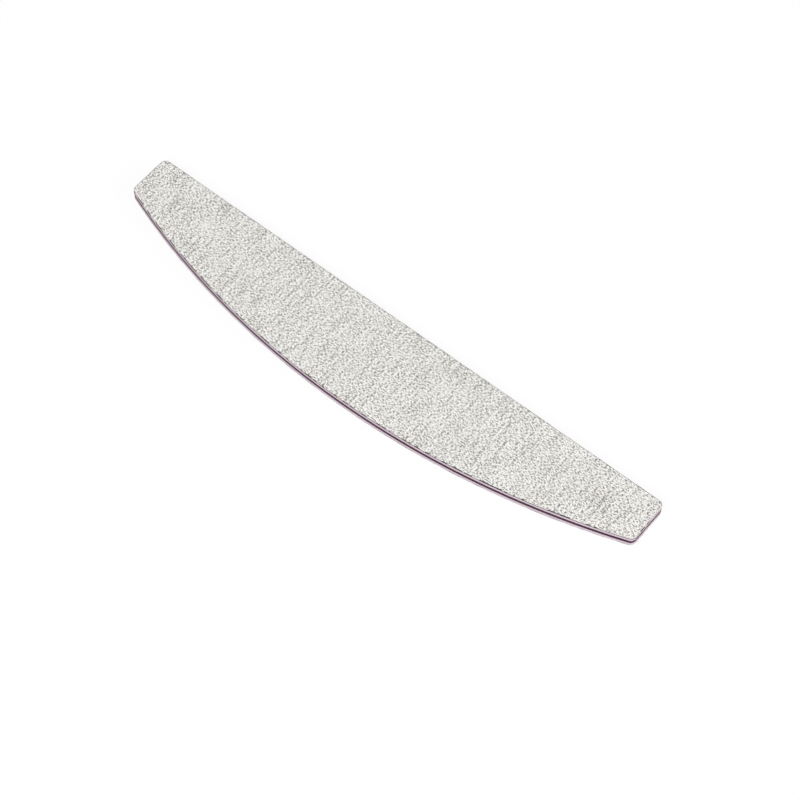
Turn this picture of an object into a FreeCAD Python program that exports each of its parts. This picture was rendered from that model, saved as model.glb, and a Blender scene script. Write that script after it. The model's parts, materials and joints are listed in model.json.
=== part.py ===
import FreeCAD, Part
import os

from FreeCAD import Vector

# Half-moon emery board: sheets laminated on a plastic core and die-cut to one outline.
# Millimetres. X runs along the board, +Y faces the straight edge and +Z is up.
# The origin is the middle of the lower face.

# Die outline
length = 180.0
width = 30.0
end_width = 14.0
corner_radius = 1.8

# Sheet thicknesses
core_thickness = 0.80
core_adhesive_thickness = 0.10
foam_thickness = 1.00
paper_adhesive_thickness = 0.10
paper_thickness = 0.22
grit_thickness = 0.18

# Cut edge: the foam springs back hollow between two thin lips that its adhesive holds,
# and the grit is rubbed round at the rim
foam_draw_in = 0.12
foam_lip_height = 0.08
grit_rim_share = 0.5

# Places on the outline that every sheet shares
half_length = length / 2
half_width = width / 2
bow_height = width - end_width
bow_radius = (half_length ** 2 + bow_height ** 2) / (2 * bow_height)
bow_centre = Vector(0, bow_radius - half_width, 0)
corner_x = half_length - corner_radius
straight_corner = Vector(corner_x, half_width - corner_radius, 0)
bow_corner_drop = ((bow_radius - corner_radius) ** 2 - corner_x ** 2) ** 0.5
bow_corner = Vector(corner_x, bow_centre.y - bow_corner_drop, 0)

# The sheets of one side, outwards from the core
side_stack = [
    ("core_adhesive", core_adhesive_thickness),
    ("foam", foam_thickness),
    ("paper_adhesive", paper_adhesive_thickness),
    ("paper", paper_thickness),
    ("grit", grit_thickness),
]
side_thickness = sum(thickness for name, thickness in side_stack)


def unit(vector):
    return vector / vector.Length


def mirrored(point):
    return Vector(-point.x, point.y, point.z)


# The die's closed line, moved inwards by inset: a straight edge, two square ends and one
# long bow, with tangent corners. The bow is two arcs that meet at the middle of the board.
def die_line(inset, level):
    lift = Vector(0, 0, level)
    corner = corner_radius - inset
    to_straight = Vector(0, 1, 0)
    to_end = Vector(1, 0, 0)
    to_bow = unit(bow_corner - bow_centre)
    to_bow_quarter = unit(to_bow - to_straight)

    straight_end = straight_corner + to_straight * corner + lift
    straight_round = straight_corner + unit(to_straight + to_end) * corner + lift
    end_top = straight_corner + to_end * corner + lift
    end_foot = bow_corner + to_end * corner + lift
    bow_round = bow_corner + unit(to_end + to_bow) * corner + lift
    bow_end = bow_corner + to_bow * corner + lift
    bow_quarter = bow_centre + to_bow_quarter * (bow_radius - inset) + lift
    bow_middle = Vector(0, inset - half_width, level)

    edges = [
        Part.LineSegment(mirrored(straight_end), straight_end),
        Part.Arc(straight_end, straight_round, end_top),
        Part.LineSegment(end_top, end_foot),
        Part.Arc(end_foot, bow_round, bow_end),
        Part.Arc(bow_end, bow_quarter, bow_middle),
        Part.Arc(bow_middle, mirrored(bow_quarter), mirrored(bow_end)),
        Part.Arc(mirrored(bow_end), mirrored(bow_round), mirrored(end_foot)),
        Part.LineSegment(mirrored(end_foot), mirrored(end_top)),
        Part.Arc(mirrored(end_top), mirrored(straight_round), mirrored(straight_end)),
    ]
    return Part.Wire([edge.toShape() for edge in edges])


# A flat sheet cut by the die
def sheet(level, thickness):
    return Part.Face(die_line(0, level)).extrude(Vector(0, 0, thickness))


# A foam sheet whose cut edge is hollowed by a round groove that runs all the way round
def foam_pad(level):
    groove_height = foam_thickness - 2 * foam_lip_height
    groove_radius = ((groove_height / 2) ** 2 + foam_draw_in ** 2) / (2 * foam_draw_in)
    path = die_line(foam_draw_in - groove_radius, level + foam_thickness / 2)
    section = Part.Circle(path.OrderedVertexes[0].Point, Vector(1, 0, 0), groove_radius)
    groove = path.makePipeShell([Part.Wire(section.toShape())], True, False)
    return sheet(level, foam_thickness).cut(groove)


# A coat of grains whose rim is rounded at the working face
def grit_coat(level, face_level):
    coat = sheet(level, grit_thickness)
    rim = [edge for edge in coat.Edges if abs(edge.BoundBox.Center.z - face_level) < edge.Tolerance]
    return coat.makeFillet(grit_thickness * grit_rim_share, rim)


# One side of the board, sheet by sheet from the core's face: direction is 1 up, -1 down
def side(core_face, direction):
    sheets = {}
    inner = core_face
    for name, thickness in side_stack:
        outer = inner + direction * thickness
        level = min(inner, outer)
        if name == "foam":
            sheets[name] = foam_pad(level)
        elif name == "grit":
            sheets[name] = grit_coat(level, outer)
        else:
            sheets[name] = sheet(level, thickness)
        inner = outer
    return sheets


pieces = {"core_board": sheet(side_thickness, core_thickness)}
for name, shape in side(side_thickness + core_thickness, 1).items():
    pieces["top_" + name] = shape
for name, shape in side(side_thickness, -1).items():
    pieces["bottom_" + name] = shape

os.makedirs("parts", exist_ok=True)
for node, shape in pieces.items():
    shape.exportStep("parts/" + node + ".step")
    print(node, round(shape.Volume, 1), "mm3", "valid" if shape.isValid() else "broken")
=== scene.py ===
import json
import math

import bmesh
import bpy
import numpy as np
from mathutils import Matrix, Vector

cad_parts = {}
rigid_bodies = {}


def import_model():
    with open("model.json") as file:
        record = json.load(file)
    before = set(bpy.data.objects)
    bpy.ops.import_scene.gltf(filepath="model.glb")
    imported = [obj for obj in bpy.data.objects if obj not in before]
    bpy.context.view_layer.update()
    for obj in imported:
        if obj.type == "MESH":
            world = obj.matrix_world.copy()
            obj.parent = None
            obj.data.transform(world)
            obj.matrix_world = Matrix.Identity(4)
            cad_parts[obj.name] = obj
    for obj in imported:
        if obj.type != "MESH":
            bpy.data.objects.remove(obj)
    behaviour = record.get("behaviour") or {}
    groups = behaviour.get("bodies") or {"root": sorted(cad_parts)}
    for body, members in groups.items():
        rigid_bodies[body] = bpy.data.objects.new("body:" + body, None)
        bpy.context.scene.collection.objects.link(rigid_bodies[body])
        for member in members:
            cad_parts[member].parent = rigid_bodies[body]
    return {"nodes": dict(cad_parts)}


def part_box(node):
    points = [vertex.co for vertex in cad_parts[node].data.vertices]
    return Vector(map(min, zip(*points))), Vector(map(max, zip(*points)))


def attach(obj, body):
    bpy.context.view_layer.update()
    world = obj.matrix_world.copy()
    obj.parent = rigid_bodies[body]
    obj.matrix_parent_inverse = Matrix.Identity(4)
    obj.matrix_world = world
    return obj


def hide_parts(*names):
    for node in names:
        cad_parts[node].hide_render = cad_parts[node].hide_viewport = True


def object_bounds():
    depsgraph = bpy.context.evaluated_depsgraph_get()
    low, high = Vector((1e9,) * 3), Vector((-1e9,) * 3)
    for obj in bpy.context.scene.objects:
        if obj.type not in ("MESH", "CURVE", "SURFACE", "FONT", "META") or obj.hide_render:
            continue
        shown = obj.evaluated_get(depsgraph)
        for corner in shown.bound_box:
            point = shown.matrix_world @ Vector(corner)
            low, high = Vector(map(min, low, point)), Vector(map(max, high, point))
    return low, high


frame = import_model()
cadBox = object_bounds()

scene = bpy.context.scene
mm = 0.001
turn = 2 * math.pi
plainWhite = (1, 1, 1, 1)

# die line that every sheet is cut to; its length and width come from the frame
board = {
    "endWidth": 14.0 * mm,
    "cornerRadius": 1.8 * mm,
    "arcStep": 0.25 * mm,
    "rim": 0.16 * mm,  # the grains end this far inside the cut
    "grainMargin": 0.28 * mm,  # and their centres keep this far inside it
}
halfLength = cadBox[1].x
halfWidth = cadBox[1].y


# node helpers

def addNode(tree, kind, inputs=None, **settings):
    node = tree.nodes.new(kind)
    for key, value in settings.items():
        setattr(node, key, value)
    for key, value in (inputs or {}).items():
        if isinstance(value, bpy.types.NodeSocket):
            tree.links.new(value, node.inputs[key])
        else:
            node.inputs[key].default_value = value
    return node


def calc(tree, operation, *values):
    return addNode(tree, "ShaderNodeMath", dict(enumerate(values)), operation=operation).outputs[0]


def vectorCalc(tree, operation, *values):
    node = addNode(tree, "ShaderNodeVectorMath", dict(enumerate(values)), operation=operation)
    return node.outputs["Vector"]


def scaled(tree, vector, factor):
    node = addNode(tree, "ShaderNodeVectorMath", {0: vector, "Scale": factor}, operation="SCALE")
    return node.outputs["Vector"]


def joined(tree, x=0.0, y=0.0, z=0.0):
    return addNode(tree, "ShaderNodeCombineXYZ", {0: x, 1: y, 2: z}).outputs[0]


def alike(tree, size):
    return joined(tree, size, size, size)


def partOf(tree, vector, axis):
    return addNode(tree, "ShaderNodeSeparateXYZ", {0: vector}).outputs[axis]


# the node has sockets for each kind of number: 2 and 3 are the range of a float, 4 and 5 of a whole one
def randomFloat(tree, low, high, seed):
    node = addNode(tree, "FunctionNodeRandomValue", {2: low, 3: high, "Seed": seed}, data_type="FLOAT")
    return node.outputs[1]


def randomWhole(tree, low, high, seed):
    node = addNode(tree, "FunctionNodeRandomValue", {4: low, 5: high, "Seed": seed}, data_type="INT")
    return node.outputs[2]


def randomAround(tree, spread, seed):
    return randomFloat(tree, calc(tree, "MULTIPLY", spread, -1.0), spread, seed)


def noiseOf(tree, place, seed, detail=0.0):
    settings = {"Vector": place, "W": seed, "Scale": 1.0, "Detail": detail}
    return addNode(tree, "ShaderNodeTexNoise", settings, noise_dimensions="4D").outputs[0]


# noise between -0.5 and 0.5 whose patches are about one size across
def patches(tree, place, size, seed, detail=0.0):
    noise = noiseOf(tree, vectorCalc(tree, "DIVIDE", place, size), seed, detail)
    return calc(tree, "SUBTRACT", noise, 0.5)


# a value that stays with the geometry while the tree changes it
def captured(tree, geometry, kind, value, domain="POINT"):
    node = addNode(tree, "GeometryNodeCaptureAttribute", {"Geometry": geometry}, domain=domain)
    item = node.capture_items.new(kind, "Kept")
    tree.links.new(value, node.inputs[item.name])
    return node.outputs["Geometry"], node.outputs[item.name]


# a value that stays with the finished mesh
def stored(tree, geometry, label, value, kind, domain):
    inputs = {"Geometry": geometry, "Name": label, "Value": value}
    node = addNode(tree, "GeometryNodeStoreNamedAttribute", inputs, data_type=kind, domain=domain)
    return node.outputs[0]


def curveOf(tree, thing):
    return addNode(tree, "GeometryNodeObjectInfo", {"Object": thing}).outputs["Geometry"]


def moved(tree, geometry, offset):
    return addNode(tree, "GeometryNodeSetPosition", {"Geometry": geometry, "Offset": offset}).outputs[0]


def lifted(tree, geometry, height):
    lift = joined(tree, z=height)
    return addNode(tree, "GeometryNodeTransform", {"Geometry": geometry, "Translation": lift}).outputs[0]


def newTree(name, sockets):
    tree = bpy.data.node_groups.new(name, "GeometryNodeTree")
    for label, kind in sockets.items():
        tree.interface.new_socket(label, in_out="INPUT", socket_type="NodeSocket" + kind)
    tree.interface.new_socket("Geometry", in_out="OUTPUT", socket_type="NodeSocketGeometry")
    return tree, tree.nodes.new("NodeGroupInput").outputs


def endTree(tree, geometry, material):
    dressed = addNode(tree, "GeometryNodeSetMaterial", {"Geometry": geometry, "Material": material})
    addNode(tree, "NodeGroupOutput", {"Geometry": dressed.outputs[0]})


# runs a tree on an empty host and keeps the result as a plain mesh piece
def pieceFrom(name, tree, settings):
    piece = bpy.data.objects.new(name, bpy.data.meshes.new(name))
    scene.collection.objects.link(piece)
    shaping = piece.modifiers.new("shaping", "NODES")
    shaping.node_group = tree
    for item in tree.interface.items_tree:
        if item.in_out == "INPUT":
            shaping[item.identifier] = settings[item.name]
    depsgraph = bpy.context.evaluated_depsgraph_get()
    shaped = piece.evaluated_get(depsgraph)
    mesh = bpy.data.meshes.new_from_object(shaped, preserve_all_data_layers=True, depsgraph=depsgraph)
    piece.modifiers.remove(shaping)
    piece.data = mesh
    mesh.name = name
    print("made", name, "with", len(mesh.polygons), "faces")
    return piece


# the die line as a closed curve, moved inwards by inset
def dieLine(name, inset):
    corner = board["cornerRadius"]
    reach = halfLength - corner
    bowHeight = 2 * halfWidth - board["endWidth"]
    bowRadius = (halfLength ** 2 + bowHeight ** 2) / (2 * bowHeight)
    bowCentre = bowRadius - halfWidth
    straightCorner = halfWidth - corner
    bowCorner = bowCentre - math.sqrt((bowRadius - corner) ** 2 - reach ** 2)
    lean = math.atan2(bowCorner - bowCentre, reach)
    arcs = [  # centre, radius, first and last angle; straight runs join them
        ((reach, straightCorner), corner, 0, turn / 4),
        ((-reach, straightCorner), corner, turn / 4, turn / 2),
        ((-reach, bowCorner), corner, turn / 2, turn / 2 - lean),
        ((0, bowCentre), bowRadius, turn / 2 - lean, turn + lean),
        ((reach, bowCorner), corner, turn + lean, turn),
    ]
    points = []
    for (x, y), radius, first, last in arcs:
        count = math.ceil(radius * (last - first) / board["arcStep"])
        for angle in np.linspace(first, last, count + 1):
            outX = (radius - inset) * math.cos(angle)
            outY = (radius - inset) * math.sin(angle)
            points.append((x + outX, y + outY, 0, 1))
    curve = bpy.data.curves.new(name, "CURVE")
    curve.dimensions = "3D"
    spline = curve.splines.new("POLY")
    spline.points.add(len(points) - 1)
    spline.points.foreach_set("co", np.array(points).ravel())
    spline.use_cyclic_u = True
    return bpy.data.objects.new(name, curve)


# a sheet cut by the die: the wall follows the die line row by row and two flat faces close it
def cutSheetTree():
    edgeDetail = 2.0  # finer layers in the ragged line and in the pits
    lipShare = 0.01  # of the wall's height: only the rows at its two lips lie this near its ends
    weld = 0.001 * mm
    tree, given = newTree("cutSheet", {
        "Outline": "Object", "Level": "Float", "Thickness": "Float", "Step": "Float", "Rows": "Int",
        "Draw In": "Float", "Rim Top": "Float", "Rim Foot": "Float",
        "Ragged": "Float", "Ragged Size": "Float", "Pitted": "Float", "Pit Size": "Float",
        "Seed": "Float", "Material": "Material",
    })
    seed = given["Seed"]
    line = addNode(tree, "GeometryNodeResampleCurve", {
        "Curve": curveOf(tree, given["Outline"]), "Length": given["Step"],
    }, mode="LENGTH").outputs[0]
    tangent = addNode(tree, "GeometryNodeInputTangent").outputs[0]
    line, outward = captured(tree, line, "VECTOR", vectorCalc(tree, "CROSS_PRODUCT", tangent, (0, 0, 1)))
    place = addNode(tree, "GeometryNodeInputPosition").outputs[0]
    ragged = patches(tree, place, alike(tree, given["Ragged Size"]), seed, edgeDetail)
    line = moved(tree, line, scaled(tree, outward, calc(tree, "MULTIPLY", ragged, given["Ragged"])))
    line, base = captured(tree, line, "VECTOR", place)

    # the profile only numbers the rows of the wall, from 0 at its foot to 1 at its top
    rows = addNode(tree, "GeometryNodeCurvePrimitiveLine", {"End": (0, mm, 0)}).outputs[0]
    rows = addNode(tree, "GeometryNodeResampleCurve", {
        "Curve": rows, "Count": given["Rows"],
    }, mode="COUNT").outputs[0]
    factor = addNode(tree, "GeometryNodeSplineParameter").outputs["Factor"]
    rows, row = captured(tree, rows, "FLOAT", factor)
    wall = addNode(tree, "GeometryNodeCurveToMesh", {"Curve": line, "Profile Curve": rows}).outputs[0]

    # 0 at the two lips and 1 half way up the wall
    middle = calc(tree, "MULTIPLY_ADD", row, 2.0, -1.0)
    middle = calc(tree, "SUBTRACT", 1.0, calc(tree, "MULTIPLY", middle, middle))
    height = calc(tree, "MULTIPLY", row, given["Thickness"])
    upright = vectorCalc(tree, "ADD", base, joined(tree, z=height))
    pits = patches(tree, upright, alike(tree, given["Pit Size"]), seed, edgeDetail)
    pits = calc(tree, "MULTIPLY", pits, given["Pitted"])
    outwards = calc(tree, "MULTIPLY", middle, calc(tree, "SUBTRACT", pits, given["Draw In"]))
    rimTop = calc(tree, "MULTIPLY", calc(tree, "GREATER_THAN", row, 1 - lipShare), given["Rim Top"])
    rimFoot = calc(tree, "MULTIPLY", calc(tree, "LESS_THAN", row, lipShare), given["Rim Foot"])
    outwards = calc(tree, "SUBTRACT", outwards, calc(tree, "ADD", rimTop, rimFoot))
    wallPlace = vectorCalc(tree, "ADD", upright, scaled(tree, outward, outwards))
    wall = addNode(tree, "GeometryNodeSetPosition", {"Geometry": wall, "Position": wallPlace}).outputs[0]
    wall = stored(tree, wall, "cutEdge", 1.0, "FLOAT", "FACE")

    # two flat faces that end where the rims begin
    faces = []
    for rim, level in ((given["Rim Foot"], 0.0), (given["Rim Top"], given["Thickness"])):
        edge = moved(tree, line, scaled(tree, outward, calc(tree, "MULTIPLY", rim, -1.0)))
        face = addNode(tree, "GeometryNodeFillCurve", {"Curve": edge}, mode="NGONS").outputs[0]
        faces.append(lifted(tree, face, level))
    faces[0] = addNode(tree, "GeometryNodeFlipFaces", {"Mesh": faces[0]}).outputs[0]
    sheet = tree.nodes.new("GeometryNodeJoinGeometry")
    for part in (wall, *faces):
        tree.links.new(part, sheet.inputs[0])
    closed = addNode(tree, "GeometryNodeMergeByDistance", {
        "Geometry": sheet.outputs[0], "Distance": weld,
    }).outputs[0]
    placed = lifted(tree, closed, given["Level"])
    solid = addNode(tree, "GeometryNodeRealizeInstances", {"Geometry": placed}).outputs[0]
    endTree(tree, solid, given["Material"])
    return tree


# abrasive grains strewn over a face: each has a tone, and a piece takes the tones From to To
toneReach = 9.0  # further than any grain's tone goes
draws = {  # seeds of the random choices that are made for each grain
    "rise": 1, "tiltX": 2, "tiltY": 3, "heading": 4, "width": 5, "shape": 6, "shade": 7, "speck": 8,
}


def grainTree():
    crowding = 4.0  # points tried in a square of the spacing, enough to fill the face
    speckDrop = toneReach / 2  # takes a speck's tone down among the blackest
    tree, given = newTree("strewnGrains", {
        "Outline": "Object", "Rim": "Object", "Level": "Float", "Spacing": "Float",
        "Grain Size": "Float", "Size Spread": "Float", "Stretch": "Float", "Flatness": "Float",
        "Tilt": "Float", "Heading": "Float", "Heading Spread": "Float", "Rise": "Float",
        "Tone Spread": "Float", "Band Size": "Vector", "Band Share": "Float",
        "Stroke Size": "Vector", "Stroke Share": "Float", "Stroke Seed": "Float", "Speck Share": "Float",
        "From": "Float", "To": "Float", "Seed": "Int",
        "Map Corner": "Vector", "Map Length": "Float", "Map Width": "Float", "Map Rows": "Float",
        "Shapes": "Collection", "Shape Count": "Int", "Material": "Material",
    })
    seed = given["Seed"]
    line = curveOf(tree, given["Outline"])
    face = addNode(tree, "GeometryNodeFillCurve", {"Curve": line}, mode="TRIANGLES").outputs[0]
    crowd = calc(tree, "DIVIDE", crowding, calc(tree, "MULTIPLY", given["Spacing"], given["Spacing"]))
    points = addNode(tree, "GeometryNodeDistributePointsOnFaces", {
        "Mesh": face, "Distance Min": given["Spacing"], "Density Max": crowd, "Seed": seed,
    }, distribute_method="POISSON").outputs["Points"]

    # the coating is laid down in short strokes along the board, and in faint bands across it
    place = addNode(tree, "GeometryNodeInputPosition").outputs[0]
    band = calc(tree, "MULTIPLY", patches(tree, place, given["Band Size"], seed), given["Band Share"])
    stroke = patches(tree, place, given["Stroke Size"], given["Stroke Seed"])
    stroke = calc(tree, "MULTIPLY", stroke, given["Stroke Share"])
    tone = randomAround(tree, given["Tone Spread"], seed)
    tone = calc(tree, "ADD", tone, calc(tree, "ADD", band, stroke))
    speck = calc(tree, "LESS_THAN", randomFloat(tree, 0.0, 1.0, draws["speck"]), given["Speck Share"])
    tone = calc(tree, "SUBTRACT", tone, calc(tree, "MULTIPLY", speck, speckDrop))
    tooDark = calc(tree, "LESS_THAN", tone, given["From"])
    tooPale = calc(tree, "SUBTRACT", 1.0, calc(tree, "LESS_THAN", tone, given["To"]))
    points = addNode(tree, "GeometryNodeDeleteGeometry", {
        "Geometry": points, "Selection": calc(tree, "ADD", tooDark, tooPale),
    }, domain="POINT").outputs[0]

    # a grain that would cross the rim is broken off there
    rim = addNode(tree, "GeometryNodeCurveToMesh", {"Curve": curveOf(tree, given["Rim"])}).outputs[0]
    gap = addNode(tree, "GeometryNodeProximity", {
        "Geometry": rim, "Sample Position": place,
    }, target_element="EDGES").outputs["Distance"]
    points, room = captured(tree, points, "FLOAT", calc(tree, "MULTIPLY", gap, 2.0))  # on both sides of it
    height = calc(tree, "ADD", given["Level"], randomAround(tree, given["Rise"], draws["rise"]))
    points = moved(tree, points, joined(tree, z=height))
    tilts = [randomAround(tree, given["Tilt"], draws[axis]) for axis in ("tiltX", "tiltY")]
    veer = randomAround(tree, given["Heading Spread"], draws["heading"])
    turned = joined(tree, *tilts, calc(tree, "ADD", given["Heading"], veer))
    least = calc(tree, "SUBTRACT", 1.0, given["Size Spread"])
    most = calc(tree, "ADD", 1.0, given["Size Spread"])
    wide = calc(tree, "MULTIPLY", given["Grain Size"], randomFloat(tree, least, most, draws["width"]))
    long = calc(tree, "MINIMUM", calc(tree, "MULTIPLY", wide, given["Stretch"]), room)
    wide = calc(tree, "MINIMUM", wide, room)
    tall = calc(tree, "MULTIPLY", given["Grain Size"], given["Flatness"])
    shapes = addNode(tree, "GeometryNodeCollectionInfo", {
        "Collection": given["Shapes"], "Separate Children": True, "Reset Children": True,
    }).outputs[0]
    last = calc(tree, "SUBTRACT", given["Shape Count"], 1.0)
    grains = addNode(tree, "GeometryNodeInstanceOnPoints", {
        "Points": points, "Instance": shapes, "Pick Instance": True,
        "Instance Index": randomWhole(tree, 0, last, draws["shape"]),
        "Rotation": turned, "Scale": joined(tree, long, wide, tall),
    }).outputs[0]
    shade = randomFloat(tree, 0.0, 1.0, draws["shade"])
    grains = stored(tree, grains, "shade", shade, "FLOAT", "INSTANCE")
    grains, spot = captured(tree, grains, "VECTOR", place, "INSTANCE")
    solid = addNode(tree, "GeometryNodeRealizeInstances", {"Geometry": grains}).outputs[0]

    # flat map of the face, folded into rows; a grain's faces all lie in the row of its centre
    inRow = calc(tree, "DIVIDE", given["Map Length"], given["Map Rows"])
    spotX = partOf(tree, vectorCalc(tree, "SUBTRACT", spot, given["Map Corner"]), "X")
    row = calc(tree, "FLOOR", calc(tree, "DIVIDE", spotX, inRow))
    onFace = vectorCalc(tree, "SUBTRACT", place, given["Map Corner"])
    along = calc(tree, "SUBTRACT", calc(tree, "DIVIDE", partOf(tree, onFace, "X"), inRow), row)
    across = calc(tree, "ADD", calc(tree, "DIVIDE", partOf(tree, onFace, "Y"), given["Map Width"]), row)
    mapPlace = joined(tree, along, calc(tree, "DIVIDE", across, given["Map Rows"]))
    solid = stored(tree, solid, "OFBake", mapPlace, "FLOAT2", "CORNER")
    endTree(tree, solid, given["Material"])
    return tree


# a few sharp convex shards, each about one unit across
def shardShapes(count, corners, seed):
    drawn = np.random.default_rng(seed)
    shards = bpy.data.collections.new("shards")
    for number in range(count):
        shape = bmesh.new()
        for direction in drawn.normal(size=(corners, 3)):
            shape.verts.new(direction / np.linalg.norm(direction) / 2)
        bmesh.ops.convex_hull(shape, input=shape.verts)
        loose = [vert for vert in shape.verts if not vert.link_faces]
        bmesh.ops.delete(shape, geom=loose, context="VERTS")
        bmesh.ops.recalc_face_normals(shape, faces=shape.faces)
        mesh = bpy.data.meshes.new("shard")
        shape.to_mesh(mesh)
        shape.free()
        shards.objects.link(bpy.data.objects.new("shard", mesh))
    return shards


# materials

patchDetail = 2.0  # finer layers in the patches of colour
fineDetail = 1.0  # and in the dashes and the bumps


# a level of 0 to 255 in the sRGB scale, as linear light
def fromSrgb(level):
    share = level / 255
    return share / 12.92 if share < 0.04045 else ((share + 0.055) / 1.055) ** 2.4


def tint(levels):
    return (*[fromSrgb(level) for level in levels], 1.0)


def newMaterial(name, roughness, specular):
    material = bpy.data.materials.new(name)
    material.use_nodes = True
    shader = material.node_tree.nodes["Principled BSDF"]
    shader.inputs["Roughness"].default_value = roughness
    shader.inputs["Specular IOR Level"].default_value = specular
    return material, material.node_tree, shader


# colour between two tints; the change happens between the factors start and end
def between(tree, factor, low, high, start=0.0, end=1.0):
    ramp = addNode(tree, "ShaderNodeValToRGB", {"Fac": factor})
    for element, place, levels in zip(ramp.color_ramp.elements, (start, end), (low, high)):
        element.position = place
        element.color = tint(levels)
    return ramp.outputs["Color"]


# sockets 6 and 7 of the node are its two colours
def mixedColour(tree, factor, first, second):
    inputs = {"Factor": factor, 6: first, 7: second}
    return addNode(tree, "ShaderNodeMix", inputs, data_type="RGBA").outputs[2]


# object coordinates divided by a size for each axis
def surfacePlace(tree, size):
    place = addNode(tree, "ShaderNodeTexCoord").outputs["Object"]
    return vectorCalc(tree, "DIVIDE", place, size)


def addBump(tree, shader, height, depth):
    bump = addNode(tree, "ShaderNodeBump", {"Height": height, "Strength": 1.0, "Distance": depth})
    tree.links.new(bump.outputs[0], shader.inputs["Normal"])


# the foam darkens to a plum tint along the lips that lie on the core, over a narrow band above the core
# and a wider one below it
def darkenedNearCore(tree, colour, look):
    height = partOf(tree, surfacePlace(tree, (mm, mm, mm)), "Z")
    awayFromCore = 1.0
    for level, reach in look["bondLips"]:
        gap = calc(tree, "ABSOLUTE", calc(tree, "SUBTRACT", height, level / mm))
        awayFromCore = calc(tree, "MINIMUM", awayFromCore, calc(tree, "DIVIDE", gap, reach / mm))
    return mixedColour(tree, awayFromCore, tint(look["bond"]), colour)


# dark dashes where the die went through
def dashedEdge(tree, colour, look):
    edge = addNode(tree, "ShaderNodeAttribute", attribute_name="cutEdge").outputs["Fac"]
    dash = noiseOf(tree, surfacePlace(tree, look["dash"]), look["seed"], fineDetail)
    soiled = between(tree, dash, *look["cutEdge"], *look["dashChange"])
    return mixedColour(tree, edge, colour, soiled)


def patchyMaterial(name, look):
    material, tree, shader = newMaterial(name, look["roughness"], look["specular"])
    patch = noiseOf(tree, surfacePlace(tree, look["patch"]), look["seed"], look.get("detail", patchDetail))
    colour = between(tree, patch, look["low"], look["high"], *look["change"])
    if "bond" in look:
        colour = darkenedNearCore(tree, colour, look)
    if "cutEdge" in look:
        colour = dashedEdge(tree, colour, look)
    tree.links.new(colour, shader.inputs["Base Color"])
    fine = noiseOf(tree, surfacePlace(tree, look["fine"]), look["seed"], fineDetail)
    addBump(tree, shader, fine, look["depth"])
    return material


def grainMaterial(name, low, high):
    material, tree, shader = newMaterial(name, grit["roughness"], grit["specular"])
    shade = addNode(tree, "ShaderNodeAttribute", attribute_name="shade").outputs["Fac"]
    tree.links.new(between(tree, shade, low, high), shader.inputs["Base Color"])
    return material


# the abrasive coat
allThrough = 1000 * mm  # a pattern this tall is the same all through the coat
grit = {
    "spacing": 0.22 * mm,
    "size": 0.28 * mm,
    "sizeSpread": 0.3,
    "stretch": 1.8,
    "flatness": 0.46,
    "tilt": 0.35,
    "heading": -0.17,  # the coating lies a little askew to the length
    "headingSpread": 0.4,
    "rise": 0.02 * mm,  # a grain lies up to this much higher or lower
    "shardCount": 8,
    "shardCorners": 6,
    "shardSeed": 3,
    "bedShare": 0.4,  # of the coat is the resin bed
    "centreShare": 0.5,  # of the coat lies under the middle of a grain
    "toneSpread": 0.45,
    "bandSize": (1.0 * mm, 9.0 * mm, allThrough),
    "bandShare": 2.6,
    "strokeSize": (0.66 * mm, 0.36 * mm, allThrough),
    "strokeShare": 4.5,
    "strokeSeed": 1.0,  # a whole number, because others add long waves to the strokes
    "speckShare": 0.002,  # of the grains are black specks
    "mapRows": 3.0,
    "roughness": 0.6,
    "specular": 0.3,
}

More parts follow.
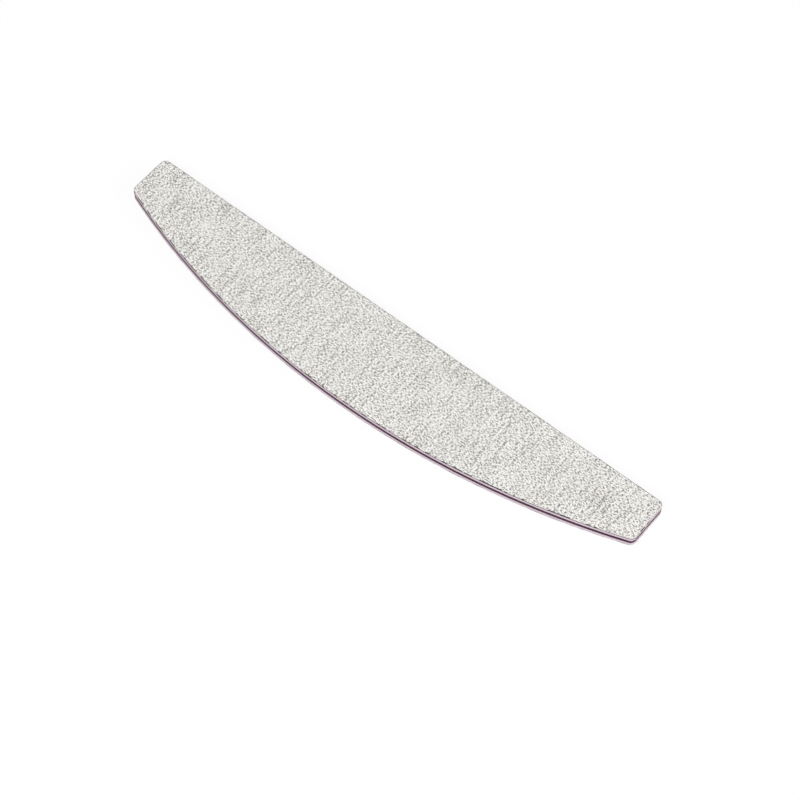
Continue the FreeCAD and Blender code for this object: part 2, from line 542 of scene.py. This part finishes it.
looks = {
    "resin": {
        "low": (158, 155, 151), "high": (240, 238, 234), "change": (0.36, 0.56), "detail": 0.0,
        "cutEdge": ((50, 48, 46), (242, 240, 236)), "dash": (1.6 * mm,) * 3, "dashChange": (0.44, 0.52),
        "patch": grit["strokeSize"], "seed": grit["strokeSeed"],
        "fine": (0.08 * mm,) * 3, "depth": 0.02 * mm,
        "roughness": grit["roughness"], "specular": grit["specular"],
    },
    # the top paper's cut edge is painted near-black: painted shade in the gap under the coat's lip, much
    # darker than the same paper on the bottom
    "topPaper": {
        "low": (18, 16, 17), "high": (84, 79, 81), "change": (0.50, 0.66), "seed": 2.0,
        "patch": (0.7 * mm,) * 3, "fine": (0.05 * mm,) * 3, "depth": 0.02 * mm,
        "roughness": 0.85, "specular": 0.1,
    },
    "bottomPaper": {
        "low": (124, 118, 122), "high": (206, 201, 204), "change": (0.36, 0.50), "seed": 2.5,
        "patch": (4.0 * mm,) * 3, "fine": (0.05 * mm,) * 3, "depth": 0.02 * mm,
        "roughness": 0.85, "specular": 0.1,
    },
    "foam": {
        "low": (194, 178, 188), "high": (212, 197, 206), "change": (0.3, 0.7), "seed": 3.0,
        "bond": (70, 36, 60),
        "bondLips": (  # level of each lip beside the core, and how far the darkening reaches from it
            (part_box("top_foam")[0].z, 0.12 * mm),
            (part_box("bottom_foam")[1].z, 0.56 * mm),
        ),
        "patch": (0.2 * mm,) * 3, "fine": (0.08 * mm,) * 3, "depth": 0.03 * mm,
        "roughness": 0.85, "specular": 0.2,
    },
    "core": {
        "low": (54, 3, 42), "high": (70, 10, 56), "change": (0.35, 0.65), "seed": 4.0,
        "patch": (0.3 * mm, 0.3 * mm, 4 * mm), "fine": (0.06 * mm, 0.06 * mm, 2 * mm), "depth": 0.01 * mm,
        "roughness": 0.5, "specular": 0.15,
    },
    # the film under the top paper is painted dark: painted shade under the coat's lip, unlike the pale
    # film on the bottom
    "topPaperFilm": {
        "low": (40, 34, 37), "high": (86, 77, 82), "change": (0.35, 0.65), "seed": 5.0,
        "patch": (0.7 * mm,) * 3, "fine": (0.1 * mm,) * 3, "depth": 0.01 * mm,
        "roughness": 0.5, "specular": 0.2,
    },
    "bottomPaperFilm": {
        "low": (164, 152, 160), "high": (190, 178, 186), "change": (0.3, 0.7), "seed": 5.5,
        "patch": (0.5 * mm,) * 3, "fine": (0.1 * mm,) * 3, "depth": 0.01 * mm,
        "roughness": 0.5, "specular": 0.3,
    },
    "coreFilm": {
        "low": (50, 6, 40), "high": (68, 20, 56), "change": (0.3, 0.7), "seed": 6.0,
        "patch": (0.5 * mm,) * 3, "fine": (0.1 * mm,) * 3, "depth": 0.01 * mm,
        "roughness": 0.5, "specular": 0.3,
    },
}
finishes = {name: patchyMaterial(name, look) for name, look in looks.items()}

# grains from dark to white: the highest tone that each piece takes, and its two tints
tones = {
    "charcoal": {"upTo": -1.40, "low": (34, 32, 31), "high": (76, 73, 70)},
    "dark": {"upTo": -0.62, "low": (134, 131, 128), "high": (168, 165, 161)},
    "grey": {"upTo": -0.22, "low": (182, 179, 175), "high": (212, 210, 206)},
    "pale": {"upTo": 0.16, "low": (224, 222, 218), "high": (242, 240, 236)},
    "white": {"upTo": toneReach, "low": (249, 247, 244), "high": (254, 253, 251)},
}
for name, tone in tones.items():
    finishes[name] = grainMaterial(name + "Grain", tone["low"], tone["high"])
print("made", len(finishes), "materials")

outerLine = dieLine("outerLine", 0.0)
rimLine = dieLine("rimLine", board["rim"])
grainLine = dieLine("grainLine", board["grainMargin"])
sheetTree = cutSheetTree()
strewnTree = grainTree()
shards = shardShapes(grit["shardCount"], grit["shardCorners"], grit["shardSeed"])

# cut edge of each kind of sheet
sheets = {
    "paper": {
        "step": 0.2 * mm, "rows": 4, "draw": 0.0, "ragged": 0.06 * mm, "raggedSize": 0.4 * mm,
        "pitted": 0.04 * mm, "pitSize": 0.2 * mm, "seed": 0.0,
    },
    "foam": {
        "step": 0.2 * mm, "rows": 9, "draw": 0.12 * mm, "ragged": 0.02 * mm, "raggedSize": 1.5 * mm,
        "pitted": 0.08 * mm, "pitSize": 0.2 * mm, "seed": 0.0,
    },
    "core": {
        "step": 0.2 * mm, "rows": 4, "draw": 0.0, "ragged": 0.0, "raggedSize": 1.0 * mm,
        "pitted": 0.01 * mm, "pitSize": 0.4 * mm, "seed": 30.0,
    },
    "resin": {
        "step": 0.2 * mm, "rows": 4, "draw": 0.0, "ragged": 0.08 * mm, "raggedSize": 0.4 * mm,
        "pitted": 0.03 * mm, "pitSize": 0.2 * mm, "seed": 5.0,
    },
}
sideSeedStep = 10.0  # the two sides are ragged in different places


def cutSheet(name, kind, look, level, thickness, seedShift=0.0, rimTop=0.0, rimFoot=0.0):
    cut = sheets[kind]
    return pieceFrom(name, sheetTree, {
        "Outline": outerLine, "Level": level, "Thickness": thickness,
        "Step": cut["step"], "Rows": cut["rows"], "Draw In": cut["draw"],
        "Rim Top": rimTop, "Rim Foot": rimFoot,
        "Ragged": cut["ragged"], "Ragged Size": cut["raggedSize"],
        "Pitted": cut["pitted"], "Pit Size": cut["pitSize"],
        "Seed": cut["seed"] + seedShift, "Material": finishes[look],
    })


def setIn(piece, slot, *replaced):
    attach(piece, "root")
    if replaced:
        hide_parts(*replaced)


def addPaperAndFoam(side, seedShift):
    # the top paper's finish is painted dark, as shade under the coat's lip
    for kind, look, slot in (("paper", side + "Paper", "backing_paper"), ("foam", "foam", "foam")):
        node = side + "_" + kind
        low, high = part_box(node)
        piece = cutSheet(node + "_cut", kind, look, low.z, high.z - low.z, seedShift)
        setIn(piece, slot, node)


# one piece of grains for each tone
def strewGrains(side, level, seed):
    start = -toneReach
    for name, tone in tones.items():
        grains = pieceFrom(side + "_" + name + "_grains", strewnTree, {
            "Outline": grainLine, "Rim": rimLine, "Level": level, "Spacing": grit["spacing"],
            "Grain Size": grit["size"], "Size Spread": grit["sizeSpread"],
            "Stretch": grit["stretch"], "Flatness": grit["flatness"], "Tilt": grit["tilt"],
            "Heading": grit["heading"], "Heading Spread": grit["headingSpread"], "Rise": grit["rise"],
            "Tone Spread": grit["toneSpread"],
            "Band Size": grit["bandSize"], "Band Share": grit["bandShare"],
            "Stroke Size": grit["strokeSize"], "Stroke Share": grit["strokeShare"],
            "Stroke Seed": grit["strokeSeed"], "Speck Share": grit["speckShare"],
            "From": start, "To": tone["upTo"], "Seed": seed,
            "Map Corner": cadBox[0], "Map Length": 2 * halfLength, "Map Width": 2 * halfWidth,
            "Map Rows": grit["mapRows"], "Shapes": shards, "Shape Count": len(shards.objects),
            "Material": finishes[name],
        })
        setIn(grains, "grit")
        start = tone["upTo"]


# a resin bed on the paper, with its rim at the working face, and the grains that stand in it
def addCoat(side, seedShift, grainSeed):
    node = side + "_grit"
    low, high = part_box(node)
    coat = high.z - low.z
    bedThickness = coat * grit["bedShare"]
    if side == "top":
        bedLevel = low.z
        grainLevel = low.z + coat * grit["centreShare"]
        rims = {"rimTop": board["rim"]}
    else:
        bedLevel = high.z - bedThickness
        grainLevel = high.z - coat * grit["centreShare"]
        rims = {"rimFoot": board["rim"]}
    bed = cutSheet(node + "_bed", "resin", "resin", bedLevel, bedThickness, seedShift, **rims)
    setIn(bed, "grit", node)
    strewGrains(side, grainLevel, grainSeed)


for number, side in enumerate(("top", "bottom")):
    addPaperAndFoam(side, sideSeedStep * number)
    addCoat(side, sideSeedStep * number, number + 1)
low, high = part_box("core_board")
core = cutSheet("core_board_cut", "core", "core", low.z, high.z - low.z)
setIn(core, "core_plastic", "core_board")

# the adhesive films stay as the frame has them, each with a finish of its own; the top paper's film is
# painted dark as shade under the coat's lip
for name, node in frame["nodes"].items():
    if name.endswith("adhesive"):
        side = name.split("_")[0]
        node.data.materials.clear()
        node.data.materials.append(finishes["coreFilm" if "core" in name else side + "PaperFilm"])
print("sheets and grains in place")


# a direction from the board, given as a turn round it and a height above the floor, in degrees
def towards(azimuth, elevation):
    bearing = math.radians(azimuth)
    rise = math.radians(elevation)
    flat = math.cos(rise)
    return Vector((math.sin(bearing) * flat, -math.cos(bearing) * flat, math.sin(rise)))


# puts a camera or a lamp at a distance from the target, facing it
def aimAt(thing, target, direction, distance):
    thing.location = target + direction * distance
    thing.rotation_mode = "QUATERNION"
    thing.rotation_quaternion = (-direction).to_track_quat("-Z", "Y")
    scene.collection.objects.link(thing)


view = {
    "azimuth": 39.254,
    "elevation": 59.385,
    "distance": 715.4 * mm,
    "target": (13.04 * mm, -3.08 * mm, 0.0),
    "focalPixels": 2588.6,
    "imagePixels": 800,
    "sensor": 36.0,  # millimetres, as the camera takes it
    "clipStart": 10 * mm,
}
camera = bpy.data.objects.new("camera", bpy.data.cameras.new("camera"))
camera.data.sensor_width = view["sensor"]
camera.data.lens = view["focalPixels"] / view["imagePixels"] * view["sensor"]
camera.data.clip_start = view["clipStart"]
aimAt(camera, Vector(view["target"]), towards(view["azimuth"], view["elevation"]), view["distance"])
scene.camera = camera

# levels are what a white card facing the light would show; the rest is in metres and degrees
light = {"worldLevel": 0.42, "distance": 1.6, "size": 0.9}
lamps = {
    "key": {"level": 0.66, "azimuth": 15, "elevation": 52},
    "fill": {"level": 0.38, "azimuth": 100, "elevation": 25},
}
world = bpy.data.worlds.new("studio")
world.use_nodes = True
sky = world.node_tree.nodes["Background"]
sky.inputs["Color"].default_value = plainWhite
sky.inputs["Strength"].default_value = light["worldLevel"]
scene.world = world
for name, lamp in lamps.items():
    softBox = bpy.data.objects.new(name, bpy.data.lights.new(name, "AREA"))
    softBox.data.energy = lamp["level"] * (math.pi * light["distance"]) ** 2
    softBox.data.size = light["size"]
    aimAt(softBox, Vector(), towards(lamp["azimuth"], lamp["elevation"]), light["distance"])

ground = {"reach": 3.0, "albedo": 0.9, "shadowShare": 0.1}


# seen directly, in a reflection or through glass, the floor is white with a faint shadow;
# it lights the board as pale card
def groundMaterial():
    material = bpy.data.materials.new("floor")
    material.use_nodes = True
    tree = material.node_tree
    tree.nodes.clear()
    path = addNode(tree, "ShaderNodeLightPath").outputs
    seen = calc(tree, "MAXIMUM", path["Is Camera Ray"], path["Is Glossy Ray"])
    seen = calc(tree, "MAXIMUM", seen, path["Is Transmission Ray"])
    pale = (*[ground["albedo"]] * 3, 1)
    card = addNode(tree, "ShaderNodeBsdfDiffuse", {"Color": pale}).outputs[0]
    shaded = addNode(tree, "ShaderNodeBsdfDiffuse", {"Color": plainWhite}).outputs[0]
    bright = addNode(tree, "ShaderNodeEmission", {"Color": plainWhite, "Strength": 1.0}).outputs[0]
    dimmed = {"Fac": ground["shadowShare"], 1: bright, 2: shaded}
    shown = addNode(tree, "ShaderNodeMixShader", dimmed).outputs[0]
    surface = addNode(tree, "ShaderNodeMixShader", {"Fac": seen, 1: card, 2: shown}).outputs[0]
    addNode(tree, "ShaderNodeOutputMaterial", {"Surface": surface})
    return material


reach = ground["reach"]
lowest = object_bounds()[0].z  # the board stands on its lowest grains
corners = [(x * reach, y * reach, lowest) for x, y in ((-1, -1), (1, -1), (1, 1), (-1, 1))]
floorMesh = bpy.data.meshes.new("floor")
floorMesh.from_pydata(corners, [], [(0, 1, 2, 3)])
floorMesh.materials.append(groundMaterial())
floor = bpy.data.objects.new("floor", floorMesh)
scene.collection.objects.link(floor)

scene.view_settings.view_transform = "Standard"
print("camera, light and floor in place")
